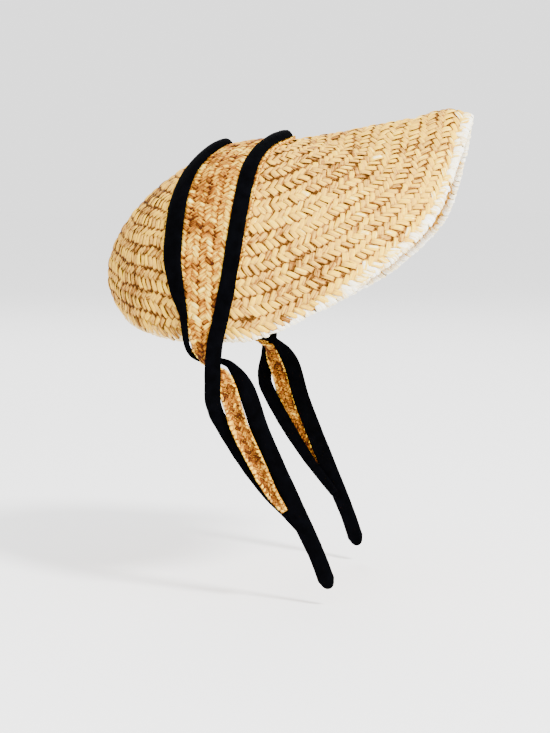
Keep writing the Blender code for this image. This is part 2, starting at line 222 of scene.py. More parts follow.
# The folds over the rim, and the loops of the sash's selvedges
RIM_REACH = 5.5 * MM
RIM_LINES = 9
RIM_TURNS = (30, 60, 90, 120, 150)
RIM_SPACING, RIM_OVERLAP, RIM_UNEVEN = 3.9 * MM, 1.2, 0.08
RIM_SLANT = math.radians(84)
LOOP_SPACING, LOOP_LENGTH, LOOP_WIDTH, LOOP_TURN = 2.9 * MM, 2.8 * MM, 2.3 * MM, 0.3
LOOP_INSET, TIE_LOOP_INSET = 0.4 * MM, 0.9 * MM

# Colours by level, which may pass 1 where the painted highlight lifts the straw; a ramp itself ends at 1
LEVEL_SHARE = 0.8
STRAW_STOPS = (
    (0.0, (0.06, 0.02, 0.002)),
    (0.25, (0.29, 0.11, 0.018)),
    (0.48, (0.65, 0.36, 0.058)),
    (0.7, (0.84, 0.47, 0.02)),
    (0.95, (0.93, 0.61, 0.055)),
    (1.25, (0.96, 0.89, 0.66)),
)
RIM_STOPS = (
    (0.0, (0.22, 0.09, 0.02)),
    (0.35, (0.68, 0.42, 0.12)),
    (0.6, (0.88, 0.70, 0.36)),
    (0.85, (0.94, 0.88, 0.68)),
    (1.0, (0.96, 0.94, 0.85)),
)
SASH_STOPS = (
    (0.0, (0.045, 0.01, 0.002)),
    (0.28, (0.20, 0.058, 0.006)),
    (0.5, (0.43, 0.17, 0.014)),
    (0.7, (0.70, 0.39, 0.032)),
    (0.95, (0.88, 0.60, 0.08)),
    (1.25, (0.94, 0.76, 0.30)),
)
# the last is how far the painted shade at the floats' ends and edges lowers the level
MIDDLE_LEVEL, TONE_STEP, PAINTED_SHADE_LEVEL = 0.62, 0.1, 0.62
STREAK_SCALE, SPLIT_SCALE, BLOTCH_SCALE = 2600, 900, 420
FIBRE_SCALE = 0.06  # along a strand, against 1 across it

# Camera: the photograph's viewing angle
AZIMUTH = math.radians(10)
ELEVATION = math.radians(6)
DISTANCE = 1.3
TARGET_RIGHT, TARGET_UP = 7 * MM, -155.05 * MM
FRAME_HEIGHT = 0.5131  # what the picture's height takes in at the target
FLOOR_DROP = 12 * MM

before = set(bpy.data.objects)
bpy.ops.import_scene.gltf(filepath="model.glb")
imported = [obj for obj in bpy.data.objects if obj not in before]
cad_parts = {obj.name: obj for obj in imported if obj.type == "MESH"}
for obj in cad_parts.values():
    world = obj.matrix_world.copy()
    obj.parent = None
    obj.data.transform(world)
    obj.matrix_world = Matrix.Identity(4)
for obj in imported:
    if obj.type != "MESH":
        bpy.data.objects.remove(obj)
CAD_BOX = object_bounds()
rng = np.random.default_rng(7)


def curve_rows(keys, table, at, level_start=True, level_end=True):
    """Smooth curves through a table's columns, which don't overshoot them, read at several places."""
    keys, table = np.asarray(keys, float), np.asarray(table, float)
    gaps = np.diff(keys)[:, None]
    rises = np.diff(table, axis=0) / gaps
    slopes = np.zeros_like(table)
    weight_before = 2 * gaps[1:] + gaps[:-1]
    weight_after = gaps[1:] + 2 * gaps[:-1]
    same_way = rises[:-1] * rises[1:] > 0
    before = np.where(same_way, rises[:-1], 1)
    after = np.where(same_way, rises[1:], 1)
    inner = (weight_before + weight_after) / (weight_before / before + weight_after / after)
    slopes[1:-1] = np.where(same_way, inner, 0)
    if not level_start:
        slopes[0] = rises[0]
    if not level_end:
        slopes[-1] = rises[-1]
    at = np.clip(np.atleast_1d(at), keys[0], keys[-1])
    k = np.clip(np.searchsorted(keys, at, side="right") - 1, 0, len(gaps) - 1)
    t = ((at - keys[k]) / gaps[k, 0])[:, None]
    rise = table[k + 1] - table[k]
    start, end = slopes[k] * gaps[k], slopes[k + 1] * gaps[k]
    return table[k] + t * (start + t * (3 * rise - 2 * start - end + t * (start + end - 2 * rise)))


def peak_swell(bearing, share):
    """How far a slight swell behind the front peak's tip lifts the crown's face."""
    along = np.maximum(0.0, 1 - ((share - PEAK_SHARE) / PEAK_SPREAD) ** 2)
    across = np.maximum(0.0, 1 - (bearing / PEAK_BEARING) ** 2)
    return PEAK_LIFT * along**2 * across**2


def crown_points(bearing, share):
    """Points of the crown's outer face, by bearing from the front and share of the spoke."""
    shape = np.broadcast(bearing, share).shape
    bearing = np.broadcast_to(bearing, shape).ravel()
    share = np.broadcast_to(share, shape).ravel()
    rim_x, rim_y, rim_z, run, rim_in, rim_up = curve_rows(SPOKE_BEARINGS, SPOKE_TABLE, np.abs(bearing)).T * MM
    reach = np.hypot(rim_x, rim_y)
    out_aims = (0, run, reach - rim_in, reach)
    height_aims = (CROWN_TOP, CROWN_TOP + CROWN_TILT * run * np.cos(bearing), rim_z + rim_up, rim_z)
    rest = 1 - share
    weights = (rest**3, 3 * rest * rest * share, 3 * rest * share * share, share**3)
    out = sum(w * aim for w, aim in zip(weights, out_aims))
    height = sum(w * aim for w, aim in zip(weights, height_aims)) + peak_swell(bearing, share)
    return np.stack([out * np.cos(bearing), out * np.sin(bearing), height], -1).reshape(*shape, 3)


def faded_in(values, start, end):
    """0 as far as the start and 1 past the end, whichever of the two is the greater number."""
    return np.clip((values - start) / (end - start), 0, 1)


def unit(vectors):
    return vectors / np.maximum(np.linalg.norm(vectors, axis=-1, keepdims=True), 1e-12)


def arc_lengths(points):
    """Length along each line of points, which run along the first axis."""
    steps = np.linalg.norm(np.diff(points, axis=0), axis=-1)
    return np.concatenate([np.zeros((1, *steps.shape[1:])), np.cumsum(steps, axis=0)])


def spaced(points, count):
    """The line through the points, read at this many even steps of its length."""
    length = arc_lengths(points)
    at = np.linspace(0, length[-1], count)
    return np.stack([np.interp(at, length, points[:, axis]) for axis in range(3)], -1)


class Net:
    """Points and normals on a net of lines, read anywhere between them by i and j. A closed net is a
    ring in i."""

    def __init__(self, points, normals, closed=False):
        self.points, self.normals, self.closed = points, normals, closed

    def at(self, i, j):
        rows, columns = self.points.shape[:2]
        j = np.clip(j, 0, columns - 1.001)
        if self.closed:
            i = np.mod(i, rows)
        else:
            i = np.clip(i, 0, rows - 1.001)
        i0, j0 = np.minimum(i.astype(int), rows - 1), j.astype(int)
        i1, j1 = (i0 + 1) % rows, j0 + 1
        s, t = (i - i0)[..., None], (j - j0)[..., None]

        def read(values):
            return (values[i0, j0] * (1 - s) + values[i1, j0] * s) * (1 - t) + (
                values[i0, j1] * (1 - s) + values[i1, j1] * s
            ) * t

        return read(self.points), unit(read(self.normals))


def waves(points, scale, seed):
    """Smooth irregular values near -1 to 1 at points, with swells of about this size in metres."""
    source = np.random.default_rng(seed)
    count, calm = 7, 2.6
    total = 0
    for _ in range(count):
        aim = source.normal(size=3)
        aim *= 2 * math.pi / (scale * source.uniform(0.6, 1.7)) / np.linalg.norm(aim)
        total = total + np.sin(points @ aim + source.uniform(0, 2 * math.pi))
    return total / calm


def crown_net():
    """The crown's outer face from its top (j = 0) to the rim, round from the back."""
    bearings = np.linspace(-math.pi, math.pi, FIRST_AROUND + 1)[:-1]
    spokes = crown_points(bearings[:, None], np.linspace(0.0, 1, FIRST_DOWN + 1)[None])
    spokes = np.stack([spaced(spoke, NET_DOWN + 1) for spoke in spokes])
    rings = []
    for j in range(NET_DOWN + 1):
        ring = np.concatenate([spokes[:, j], spokes[:1, j]])
        rings.append(spaced(ring, NET_AROUND + 1)[:-1])
    points = np.stack(rings, 1)
    points[:, 0] = (0, 0, CROWN_TOP)
    around = np.roll(points, -1, 0) - np.roll(points, 1, 0)
    normals = unit(np.cross(around, np.gradient(points, axis=1)))
    normals[:, 0] = (0, 0, 1)
    if normals[0, NET_DOWN // 2, 2] < 0:
        normals = -normals
    return Net(points, normals, closed=True)


def wall_at(j):
    """Thickness of the crown's wall at a line of its net."""
    swell = np.maximum(0.0, 1 - (1 - j / NET_DOWN) / RIM_ROLL_LENGTH)
    return STRAW_WALL + (RIM_WALL - STRAW_WALL) * swell


def grid_faces(rows, columns, closed=False):
    """Faces of a net of points, whose rows are joined in a ring where it is closed."""
    i = np.arange(rows if closed else rows - 1)[:, None]
    j = np.arange(columns - 1)[None]
    here, after = i * columns + j, (i + 1) % rows * columns + j
    return np.stack([here, after, after + 1, here + 1], -1).reshape(-1, 4).astype(np.int32)


def make_piece(name, points, faces, material, values=None):
    """A mesh object with smooth faces, and one attribute for each named set of values."""
    mesh = bpy.data.meshes.new(name)
    mesh.vertices.add(len(points))
    mesh.vertices.foreach_set("co", np.asarray(points, np.float32).ravel())
    mesh.loops.add(faces.size)
    mesh.loops.foreach_set("vertex_index", faces.ravel())
    mesh.polygons.add(len(faces))
    mesh.polygons.foreach_set("loop_start", np.arange(0, faces.size, faces.shape[1], dtype=np.int32))
    mesh.polygons.foreach_set("use_smooth", np.ones(len(faces), bool))
    for key, data in (values or {}).items():
        kind, field = ("FLOAT", "value") if data.ndim == 1 else ("FLOAT_VECTOR", "vector")
        attribute = mesh.attributes.new(key, kind, "POINT")
        attribute.data.foreach_set(field, np.asarray(data, np.float32).ravel())
    mesh.update(calc_edges=True)
    mesh.materials.append(material)
    piece = bpy.data.objects.new(name, mesh)
    bpy.context.scene.collection.objects.link(piece)
    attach(piece, "root")
    return piece


def closer_at_ends(count):
    """Places from -1 to 1, which lie closer together towards the ends."""
    return np.sin(np.linspace(-math.pi / 2, math.pi / 2, count))


def float_faces(shape, count, side):
    """Faces of this many floats, one after the other, turned to the side that they lie on."""
    faces = grid_faces(shape.along, shape.across)
    if side < 0:
        faces = faces[:, ::-1]
    firsts = np.arange(count) * (shape.along * shape.across)
    return (faces[None] + firsts[:, None, None]).reshape(-1, 4).astype(np.int32)


def float_painted_shade(a, b, under):
    """How much painted shade darkens a float, at most at the end and along the edge that go under others."""
    fade = faded_in(np.abs(a), *END_PAINTED_SHADE)
    fade = fade * fade * (3 - 2 * fade) * np.where(a > 0, 1.0, OPEN_END)
    return np.maximum(fade, np.where(b > 0, under, OPEN_EDGE) * np.abs(b) ** PAINTED_SHADE_POWER)


def lay_floats(
    net, i, j, per_i, per_j, angle, length, width, shape, depth=0.0, side=1, loose=1.0, under=0.3
):
    """Woven floats laid on a net. Each is centred at (i, j), where per_i and per_j lines go to a
    metre, and runs at an angle from the net's i direction. Its ends are darkened with painted shade
    where they go under others, and its lower edge with painted shadow by the share called under.
    Returns points, faces and values."""
    count = len(i)
    column = (slice(None), None, None)
    a, b = np.meshgrid(closer_at_ends(shape.along), closer_at_ends(shape.across), indexing="ij")
    angle = angle + rng.normal(0, TURN_SPREAD * loose, count)
    length = length * shape.spare * (1 + rng.normal(0, LENGTH_SPREAD * loose, count))
    width = width * (1 + rng.normal(0, WIDTH_SPREAD * loose, count))
    shift = rng.normal(0, SHIFT_SPREAD * loose, (2, count))
    bend = rng.normal(0, BEND_SPREAD * loose, count)
    x = a * length[column] / 2
    y = b * width[column] / 2 * (1 - END_NARROWING * a**2) + bend[column] * length[column] / 2 * a**2
    cos, sin = np.cos(angle)[column], np.sin(angle)[column]
    u = x * cos - y * sin + shift[0][column]
    v = x * sin + y * cos + shift[1][column]
    points, normals = net.at(i[column] + u * per_i[column], j[column] + v * per_j[column])
    lift = np.minimum(1 + rng.normal(0, LIFT_SPREAD * loose, count), LIFT_MOST)[column]
    tilt = rng.normal(0, TILT_SPREAD * loose, count)[column]
    height = shape.crest * lift - shape.dip * np.abs(a) ** DIP_POWER
    height = height - shape.rounding * np.abs(b) ** ROUNDING_POWER + tilt * b * (1 - a**2)
    points = points + normals * (depth + side * height)[..., None]
    marks = np.broadcast_to(rng.uniform(0, 1, count)[column] * STRAND_APART, x.shape)
    strand = np.stack([np.broadcast_to(y, x.shape), x, marks], -1)
    # painted shade on each float, at the end and edge that go under others
    painted_shade = np.broadcast_to(float_painted_shade(a, b, under), x.shape)
    tone = rng.normal(0, 1, count) - STAINED_TONE * (rng.uniform(0, 1, count) < STAINED_SHARE * loose)
    values = {
        "tone": np.repeat(tone, shape.along * shape.across),
        "strand": strand.reshape(-1, 3),
        "end": painted_shade.reshape(-1),
    }
    return points.reshape(-1, 3), float_faces(shape, count, side), values


def joined(parts):
    """Several returns of lay_floats as one."""
    points, faces, first = [], [], 0
    for part in parts:
        points.append(part[0])
        faces.append(part[1] + first)
        first += len(part[0])
    values = {key: np.concatenate([part[2][key] for part in parts]) for key in parts[0][2]}
    return np.concatenate(points), np.concatenate(faces), values


def crown_rows(net):
    """The herringbone's rows on the crown: for each, the places of its floats and how they lie."""
    ring_lengths = np.linalg.norm(np.roll(net.points, -1, 0) - net.points, axis=-1).sum(0)
    spoke_lengths = np.linalg.norm(np.diff(net.points, axis=1), axis=-1).sum(1)
    rows = round(spoke_lengths.mean() / CROWN_ROW)
    count = None
    found = []
    for row in reversed(range(rows)):
        j = (row + 0.5) / rows * NET_DOWN
        ring = np.interp(j, np.arange(NET_DOWN + 1), ring_lengths)
        if j / NET_DOWN * spoke_lengths.mean() < HIDDEN_TOP:
            break
        if count is None or ring / count < CROWN_LEAST:
            count = round(ring / CROWN_SPACING)
        i = (np.arange(count) + STAGGER[row % 2]) * NET_AROUND / count
        pitch = np.interp(i, np.arange(NET_AROUND), spoke_lengths) / rows
        places, _ = net.at(i, np.full(count, j))
        i = i + waves(places, scale=0.05, seed=21) * WANDER * NET_AROUND / ring
        j = j + waves(places, scale=0.04, seed=22) * WANDER * NET_DOWN / rows / pitch
        per_i = np.full(count, NET_AROUND / ring)
        per_j = NET_DOWN / rows / pitch
        slope = np.arctan2(pitch, ring / count)
        found.append((i, j, per_i, per_j, slope if row % 2 else -slope, pitch, ring / count))
    return found


def make_crown_weave(net, name, material, shape, depth, side):
    """The crown's floats on its outer face (side 1) or its inner one (side -1)."""
    parts = []
    for i, j, per_i, per_j, slope, pitch, spacing in crown_rows(net):
        row = PROUD_ROW if slope[0] > 0 else SUNK_ROW
        length = np.hypot(pitch, spacing)
        width = spacing * np.sin(np.abs(slope)) * STRAND_FILL * row.widening
        part = lay_floats(
            net, i, j, per_i, per_j, slope + LEAN, length, width, shape, depth + side * row.rise, side,
            CROWN_LOOSE, row.under,
        )
        places, _ = net.at(i, j)
        above_rim = (NET_DOWN - j) / per_j
        # painted highlight near the rim at the front
        painted_highlight = FRONT_HIGHLIGHT_TONE * faded_in(places[:, 0], *FRONT_HIGHLIGHT_X) * np.exp(-above_rim / FRONT_HIGHLIGHT_FADE)
        # the rows' tones: a painted highlight on the proud rows, painted shade on the sunk ones
        part[2]["tone"] += np.repeat(painted_highlight + row.tone, shape.along * shape.across)
        parts.append(part)
    points, faces, values = joined(parts)
    values["tone"] = values["tone"] + 0.7 * waves(points, scale=0.05, seed=3)
    # painted shade towards the back
    values["tone"] += REAR_SHADE_TONE * faded_in(points[:, 0], *REAR_STRETCH)
    make_piece(name, points, faces, material, values)


def make_crown_ground(net, material):
    """The closed shell under the floats, which shows between them, darkened as painted shade in the gaps and
    paler near the rim.
    """
    lines = np.linspace(0, NET_DOWN, GROUND_DOWN + 1)
    grid = np.arange(0, NET_AROUND, NET_AROUND // GROUND_AROUND, dtype=float)
    outer, normals = net.at(*np.meshgrid(grid, lines, indexing="ij"))
    face = outer - normals * GROUND_SINK
    inner = outer - normals * (wall_at(lines) - GROUND_SINK)[None, :, None]
    loop = np.concatenate([face, inner[:, ::-1]], axis=1)
    points = loop.reshape(-1, 3)
    faces = grid_faces(len(grid), loop.shape[1], closed=True)
    near_rim = faded_in(lines / NET_DOWN, *RIM_GROUND)
    paler = np.tile(np.concatenate([near_rim, near_rim[::-1]]), len(grid))
    tone = GROUND_SHADE_TONE + (RIM_GROUND_TONE - GROUND_SHADE_TONE) * paler + 0.5 * waves(points, scale=0.03, seed=9)
    values = {"tone": tone, "strand": points.copy(), "end": np.zeros(len(points))}
    ground = make_piece("crown_ground", points, faces, material, values)
    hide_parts("straw_crown")


def rim_net(net):
    """A net from the outer face over the rim to the inner one, and the lengths along the rim's edge."""
    spoke_lengths = np.linalg.norm(np.diff(net.points, axis=1), axis=-1).sum(1)
    per_metre = NET_DOWN / spoke_lengths
    places = np.arange(NET_AROUND, dtype=float)
    profile, inside = [], []
    for share in np.linspace(1, 0, RIM_LINES):
        j = NET_DOWN - share * RIM_REACH * per_metre
        outer, normal = net.at(places, j)
        profile.append((outer, normal))
        inside.append((outer - normal * wall_at(j)[:, None], -normal))
    rim, rim_normal = profile[-1]
    along = unit(rim - profile[-2][0])
    radius = RIM_WALL / 2
    middle = rim - rim_normal * radius
    for turn in np.radians(RIM_TURNS):
        normal = rim_normal * math.cos(turn) + along * math.sin(turn)
        profile.append((middle + normal * radius, normal))
    profile += inside[::-1]
    points, normals = (np.stack(values, 1) for values in zip(*profile))
    edge = np.linalg.norm(np.roll(rim, -1, 0) - rim, axis=-1)
    return Net(points, normals, closed=True), edge


def make_rim(net, material):
    """The strips that are folded over the rim, side by side."""
    folded, edge = rim_net(net)
    length = edge.sum()
    lines = folded.points.shape[1] - 1
    depth = arc_lengths(folded.points[NET_AROUND // 3])[-1]
    count = round(length / RIM_SPACING)
    around = (np.arange(count) + 0.5 + rng.normal(0, RIM_UNEVEN, count)) * length / count
    i = np.interp(around, np.concatenate([[0], np.cumsum(edge)]), np.arange(NET_AROUND + 1))
    per_i = 1 / np.interp(i, np.arange(NET_AROUND), edge)
    points, faces, values = lay_floats(
        folded, i, np.full(count, lines / 2), per_i, np.full(count, lines / depth), RIM_SLANT, depth,
        length / count * RIM_OVERLAP, RIM_FLOAT, loose=RIM_LOOSE,
    )
    # painted highlight: the rim paler towards the front
    front = faded_in(points[:, 0], *RIM_FRONT)
    values["tone"] = values["tone"] * 0.8 + RIM_TONE + RIM_FRONT_HIGHLIGHT_TONE * front
    make_piece("rim_folds", points, faces, material, values)


class Seat:
    """The crown's face as a tree that rays are cast at."""

    def __init__(self, net):
        rows, columns = net.points.shape[:2]
        self.tree = BVHTree.FromPolygons(
            net.points.reshape(-1, 3).tolist(), grid_faces(rows, columns, closed=True).tolist()
        )

    def place(self, around, x, rise):
        """A point at this height over the crown, at an angle wound from the top down the -Y side."""
        aim = Vector((0, -math.sin(around), math.cos(around)))
        start = Vector((x, 0, AXIS_HEIGHT)) + aim * RAY_REACH
        point, normal, _, _ = self.tree.ray_cast(start, -aim)
        if normal.dot(aim) < 0:
            normal = -normal
        return point + normal * rise


# place(across, height) is a point of a strip's section, and puff is how far a ribbon bulges there
Section = namedtuple("Section", "place width free puff")


def wound_section(seat, angle, x, width, rise):
    """A section that lies on the crown, whose ribbon bulges most at the top."""
    around = math.radians(angle)
    puff = SIDE_PUFF + TOP_PUFF * math.exp(-((angle / TOP_PUFF_ANGLE) ** 2))
    return Section(lambda across, height: seat.place(around, x + across, rise + height), width, False, puff)


def free_section(row, middle, along):
    """A section of a tie, turned about the way that it runs and cupped."""
    outward = Vector((0, -1, 0))
    outward = (outward - along * outward.dot(along)).normalized()
    level = outward.cross(along)
    turn = math.radians(row.turn)
    width = level * math.cos(turn) + outward * math.sin(turn)
    face = outward * math.cos(turn) - level * math.sin(turn)

    def place(across, height):
        cup = row.cup * MM * (1 - (2 * across / (row.width * MM)) ** 2)
        return middle + width * across + face * (height + cup)

    return Section(place, row.width * MM, True, TIE_PUFF)


def free_start(section):
    """The last wound section, written as a row of a tie's table."""
    edges = [section.place(side * section.width / 2, 0.0) for side in (-1, 1)]
    middle = (edges[0] + edges[1]) / 2
    bulge = (section.place(0.0, 0.0) - middle).length
    turn = math.degrees(math.asin((edges[0].y - edges[1].y) / section.width))
    return Free(*(middle / MM), section.width / MM, turn, bulge / MM)


def strip_sections(seat, x_and_width, rise, table):
    """Close sections of a strip, from the crown's top down the -Y side to its free end."""
    keys = [row.around for row in WINDING_TABLE]
    sections = []
    for angle in np.linspace(0, keys[-1], WOUND_STEPS):
        row = Winding(*curve_rows(keys, WINDING_TABLE, angle, level_end=False)[0])
        x, width = x_and_width(row)
        sections.append(wound_section(seat, angle, x * MM, width * MM, rise))
    rows = np.array((free_start(sections[-1]), *table))
    keys = np.concatenate([[0], np.cumsum(np.linalg.norm(np.diff(rows[:, :3], axis=0), axis=1))])
    steps = round(keys[-1] / (STRIP_STEP / MM))
    at = np.linspace(0, keys[-1], steps + 1)[1:]
    here, before, after = (
        curve_rows(keys, rows, np.clip(at + shift, 0, keys[-1]), False, False) for shift in (0, -1, 1)
    )
    for row, back, on in zip(here, before, after):
        along = Vector(on[:3] - back[:3]).normalized()
        sections.append(free_section(Free(*row), Vector(row[:3]) * MM, along))
    return sections


def sash_sections(seat):
    """The sash's sections, whose edges reach under the ribbons and a little beyond them on the crown."""
    last = WINDING_TABLE[-1].around

    def x_and_width(row):
        under = min(1.0, (last - row.around) / MARGIN_FADES) * (RIBBON_WIDTH / 2 + SASH_SPARE) / MM
        return (row.front_x + row.rear_x) / 2, row.front_x - row.rear_x + 2 * under

    return strip_sections(seat, x_and_width, SASH_RISE, SASH_TIE)


def both_sides(rows):
    """Rows of points from the crown's top down the -Y side, with the +Y side's put before them."""
    rows = np.asarray(rows)
    return np.concatenate([rows[:0:-1] * np.array([1, -1, 1]), rows])


def mirrored(values):
    """Values down the -Y side, with the +Y side's put before them."""
    return np.concatenate([values[:0:-1], values])


class Strip:
    """The woven sash: its two faces as nets, i across it and j along it, read by the length along it."""

    def __init__(self, sections):
        across = np.linspace(-0.5, 0.5, STRIP_COLUMNS + 1)
        faces = []
        for height in (SASH_WALL / 2, -SASH_WALL / 2):
            rows = [[s.place((s.width + SASH_SPREAD) * share, height) for share in across] for s in sections]
            faces.append(both_sides(rows))
        outer, inner = faces
        self.length = arc_lengths((outer + inner)[:, STRIP_COLUMNS // 2] / 2)
        self.widths = mirrored([s.width for s in sections]) + SASH_SPREAD
        self.free = mirrored([s.free for s in sections])
        normals = unit(outer - inner).transpose(1, 0, 2)
        self.outer, self.inner = (Net(face.transpose(1, 0, 2), normals) for face in faces)
        self.sides = ((self.outer, 1), (self.inner, -1))
        self.crumple()

    def crumple(self):
        """Swells between the ribbons, which die out towards the edges and are calmer on the ties."""
        share = np.linspace(-1, 1, STRIP_COLUMNS + 1)[:, None]
        swell = waves(self.outer.points, scale=0.02, seed=5) * CRUMPLE * (1 - share**4)
        swell = swell * np.where(self.free, TIE_CALM, 1.0)
        for net, _ in self.sides:
            net.points = net.points + net.normals * swell[..., None]

    def at(self, lengths):
        """Width, j, lines to a metre and whether the sash hangs free, at these lengths."""
        middles = (self.length[:-1] + self.length[1:]) / 2
        return (
            np.interp(lengths, self.length, self.widths),
            np.interp(lengths, self.length, np.arange(len(self.length))),
            np.interp(lengths, middles, 1 / np.diff(self.length)),
            np.interp(lengths, self.length, self.free.astype(float)) > 0.5,
        )


def make_sash_weave(strip, material):
    """The sash's floats, in columns along it, which are narrower on the ties and lie on both their faces."""
    wide_rows = int(strip.widths.max() / SASH_ROW) + 1
    parts = []
    for hangs, rows, spacing in ((False, wide_rows, SASH_SPACING), (True, TIE_ROWS, TIE_SPACING)):
        for row in range(rows):
            lengths = (np.arange(int(strip.length[-1] / spacing)) + STAGGER[row % 2]) * spacing
            width, j, per_j, free = strip.at(lengths)
            pitch = (width - TIE_EDGE) / rows if hangs else np.full(len(lengths), SASH_ROW)
            u = (row - (rows - 1) / 2) * pitch
            here = (free == hangs) & (np.abs(u) < width / 2 - pitch / 4)
            width, j, per_j, pitch, u = (values[here] for values in (width, j, per_j, pitch, u))
            slope = np.arctan2(spacing, pitch)
            for net, side in strip.sides if hangs else strip.sides[:1]:
                part = lay_floats(
                    net, (u / width + 0.5) * STRIP_COLUMNS, j, STRIP_COLUMNS / width, per_j,
                    slope if row % 2 else math.pi - slope, np.hypot(pitch, spacing),
                    spacing * np.cos(slope) * SASH_FILL, SASH_FLOAT, side=side,
                    loose=TIE_LOOSE if hangs else SASH_LOOSE,
                )
                # a painted highlight on the proud rows, painted shade on the sunk ones
                part[2]["tone"] += (PROUD_ROW if row % 2 else SUNK_ROW).tone
                parts.append(part)
    points, faces, values = joined(parts)
    values["tone"] = values["tone"] * 1.1 + 1.3 * waves(points, scale=0.016, seed=8)
    # painted shade on the ties
    values["tone"] += TIE_SHADE_TONE * (points[:, 2] < TIE_TOP)
    make_piece("sash_weave", points, faces, material, values)


def make_sash_ground(strip, material):
    """The closed strip under the sash's floats, darkened as painted shade where it shows between them."""
    top = (strip.outer.points - strip.outer.normals * SASH_SINK).transpose(1, 0, 2)
    under = (strip.inner.points + strip.inner.normals * SASH_SINK / 2).transpose(1, 0, 2)
    loop = np.concatenate([top, under[:, ::-1], top[:, :1]], axis=1)
    points = loop.reshape(-1, 3)
    faces = grid_faces(*loop.shape[:2])[:, ::-1]
    count = len(points)
    values = {"tone": np.full(count, SASH_GROUND_SHADE_TONE), "strand": points.copy(), "end": np.zeros(count)}
    ground = make_piece("sash_ground", points, faces, material, values)
    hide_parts("straw_sash")
    return ground


def make_selvedge(strip, material):
    """Bumpy loops along the sash's edges, where the strands turn back, on both faces of the ties."""
    count = int(strip.length[-1] / LOOP_SPACING)
    width, j, per_j, free = strip.at((np.arange(count) + 0.5) / count * strip.length[-1])
    per_i = STRIP_COLUMNS / width
    parts = []
    for edge in (-1, 1):
        inset = np.where(free, TIE_LOOP_INSET, LOOP_INSET)
        i = ((width / 2 - inset) * edge / width + 0.5) * STRIP_COLUMNS
        for net, side in strip.sides:
            here = free if side < 0 else np.full(count, True)
            part = lay_floats(
                net, i[here], j[here], per_i[here], per_j[here], math.pi / 2 - LOOP_TURN * edge,
                LOOP_LENGTH, LOOP_WIDTH, LOOP_FLOAT, side=side, loose=LOOP_LOOSE,
            )
            parts.append(part)
    points, faces, values = joined(parts)
    values["tone"] = values["tone"] * 0.7 + LOOP_TONE
    make_piece("sash_selvedge", points, faces, material, values)


def ribbon_profile(width, thick):
    """A ribbon's section with full round edges, as (across, height) pairs."""
    steps = np.linspace(0, 2 * math.pi, 20, endpoint=False)
    across = np.sign(np.cos(steps)) * np.abs(np.cos(steps)) ** 0.62 * width / 2
    height = np.sign(np.sin(steps)) * np.abs(np.sin(steps)) ** 0.8 * thick / 2
    return np.stack([across, height], -1)


def ribbon_widths(sections, widening):
    """Drawn widths, which waver and change by the share called widening down the crown's side."""
    margin, run = 8, 5
    waver = rng.normal(0, 1, len(sections) + 2 * margin)
    waver = np.convolve(waver, np.ones(run) / run, "same")[margin:-margin]
    settled = np.minimum(1.0, np.arange(len(sections)) / RIBBON_SETTLES)
    return np.array([s.width for s in sections]) * (1 + RIBBON_WANDER * waver + widening * settled)


def ribbon_rings(sections, widths, tip):
    """Rings of points round a ribbon, whose outer face bulges, with a round tip or a thin end."""
    rings = []
    for section, width in zip(sections, widths):
        ring = []
        for across, height in ribbon_profile(width, RIBBON_THICK):
            bulge = section.puff * max(0.0, height / RIBBON_THICK * 2) * (1 - abs(across / width * 2) ** 5)
            ring.append(section.place(across, height + bulge))
        rings.append(ring)
    before, last = sections[-2:]
    if tip:
        along = (last.place(0, 0) - before.place(0, 0)).normalized()
        for share in TIP_SHARES:
            scale = math.sqrt(1 - share * share) + 0.03
            profile = ribbon_profile(last.width * scale, RIBBON_THICK * min(1.0, scale * 1.6))
            rings.append([last.place(a, h) + along * TIP_LENGTH * share for a, h in profile])
    else:
        profile = ribbon_profile(last.width * 0.97, RIBBON_WALL * 0.3)
        rings.append([last.place(a, h) for a, h in profile])
    return both_sides([[tuple(p) for p in ring] for ring in rings])


def make_ribbon(name, node, sections, material, widening, tip):
    """A velvet ribbon from end to end, with its greatest width, its length and its area."""
    widths = ribbon_widths(sections, widening)
    rings = ribbon_rings(sections, widths, tip)
    length = arc_lengths(rings.mean(axis=1))[-1]
    rows = np.concatenate([rings, rings[:, :1]], axis=1)
    faces = grid_faces(*rows.shape[:2])[:, ::-1]
    piece = make_piece(name, rows.reshape(-1, 3), faces, material)
    close_ribbon(piece, rings.shape[1])
    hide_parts(node)
    steps = np.linalg.norm(np.diff([section.place(0, 0) for section in sections], axis=0), axis=1)
    area = 2 * float((steps * (widths[1:] + widths[:-1]) / 2).sum())
    return piece, widths.max(), length, area


def close_ribbon(piece, size):
    """Joins the seam along a ribbon and fills its two ends."""
    mesh = bmesh.new()
    mesh.from_mesh(piece.data)
    bmesh.ops.remove_doubles(mesh, verts=mesh.verts, dist=1e-6)
    bmesh.ops.holes_fill(mesh, edges=[edge for edge in mesh.edges if edge.is_boundary], sides=size + 4)
    mesh.normal_update()
    mesh.to_mesh(piece.data)
    mesh.free()


def shader_of(material):
    return next(node for node in material.node_tree.nodes if node.type == "BSDF_PRINCIPLED")


